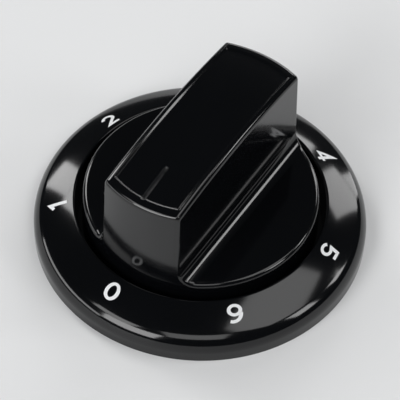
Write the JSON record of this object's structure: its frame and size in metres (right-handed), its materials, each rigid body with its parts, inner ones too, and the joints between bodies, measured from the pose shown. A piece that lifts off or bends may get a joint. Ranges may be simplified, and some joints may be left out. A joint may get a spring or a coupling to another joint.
{
  "type": "stove knob",
  "caption": "Control knob for a cooker: a bar handle with a pointer groove turns inside a sloping dial ring, with a D-shaped socket and spring clip for the valve shaft.",
  "frame": {"origin": "on the shaft axis, in the plane of the dial ring's foot", "axes": "+Z along the shaft axis towards the user, -Y towards the pointer end of the grip, +X to the right with the pointer held towards the viewer"},
  "size_m": [0.063, 0.063, 0.03],
  "materials": {
    "ring_plastic": "polished black moulding with printed light grey numbers",
    "handle_plastic": "polished black moulding",
    "clip_steel": "plain spring steel strip"
  },
  "bodies": {
    "ring": {"dial_ring": "ring_plastic"},
    "turning_handle": {"handle": "handle_plastic", "shaft_clip": "clip_steel"}
  },
  "joints": [
    {"name": "handle_turn", "type": "hinge", "parent": "ring", "child": "turning_handle", "pos_m": [0, 0, 0], "axis": [0, 0, 1], "continuous": true}
  ]
}
